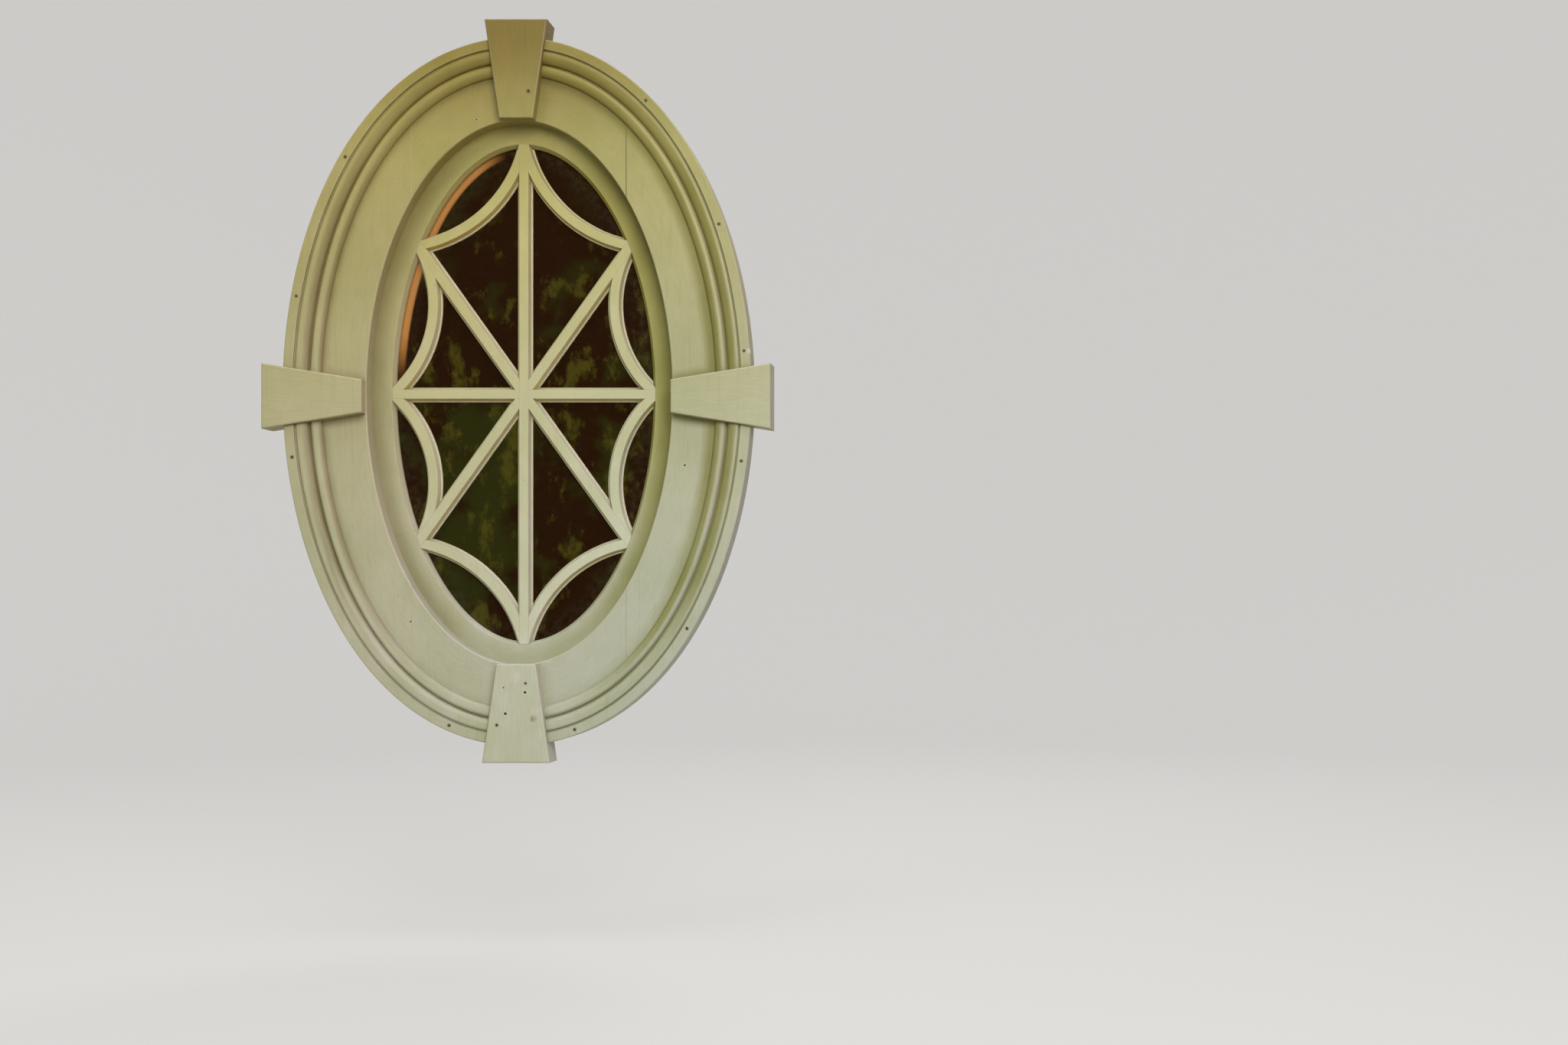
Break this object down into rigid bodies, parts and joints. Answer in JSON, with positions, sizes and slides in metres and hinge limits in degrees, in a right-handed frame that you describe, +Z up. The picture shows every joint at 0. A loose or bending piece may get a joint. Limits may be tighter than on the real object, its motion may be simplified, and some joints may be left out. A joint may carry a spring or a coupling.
{
  "type": "oval window",
  "caption": "Fixed upright oval wooden window with a flat casing, planted moulding, keystones and a spider-web grille of straight and arched bars on the glass.",
  "frame": {"origin": "centre of the oval opening, on the plane of the wall's outer face where the back of the casing lies", "axes": "+Z up, +Y into the wall towards the room, +X to the right seen from outside; the outside faces -Y"},
  "size_m": [0.845, 0.164, 1.235],
  "materials": {
    "painted_wood": "satin sage paint",
    "natural_wood": "clear satin varnish",
    "glass": "clear float glass",
    "bedding_tape": "matt",
    "setting_block": "matt"
  },
  "bodies": {
    "root": {"casing_board_right": "painted_wood", "casing_board_left": "painted_wood", "casing_board_top": "painted_wood", "casing_board_bottom": "painted_wood", "moulding_upper_right": "painted_wood", "moulding_upper_left": "painted_wood", "moulding_lower_right": "painted_wood", "moulding_lower_left": "painted_wood", "keystone_top": "painted_wood", "keystone_bottom": "painted_wood", "keystone_right": "painted_wood", "keystone_left": "painted_wood", "sash_head": "painted_wood", "sash_sill": "painted_wood", "sash_stile_right": "painted_wood", "sash_stile_left": "painted_wood", "bar_upright": "painted_wood", "bar_level_right": "painted_wood", "bar_level_left": "painted_wood", "bar_diagonal_upper_right": "painted_wood", "bar_diagonal_upper_left": "painted_wood", "bar_diagonal_lower_right": "painted_wood", "bar_diagonal_lower_left": "painted_wood", "arch_end_upper_right": "painted_wood", "arch_end_upper_left": "painted_wood", "arch_end_lower_right": "painted_wood", "arch_end_lower_left": "painted_wood", "arch_side_upper_right": "painted_wood", "arch_side_upper_left": "painted_wood", "arch_side_lower_right": "painted_wood", "arch_side_lower_left": "painted_wood", "jamb_head": "natural_wood", "jamb_sill": "natural_wood", "jamb_right": "natural_wood", "jamb_left": "natural_wood", "glazing_bead_right": "natural_wood", "glazing_bead_left": "natural_wood", "interior_stop_right": "natural_wood", "interior_stop_left": "natural_wood", "glass_pane": "glass", "bedding_tape": "bedding_tape", "setting_blocks": "setting_block"}
  },
  "joints": []
}
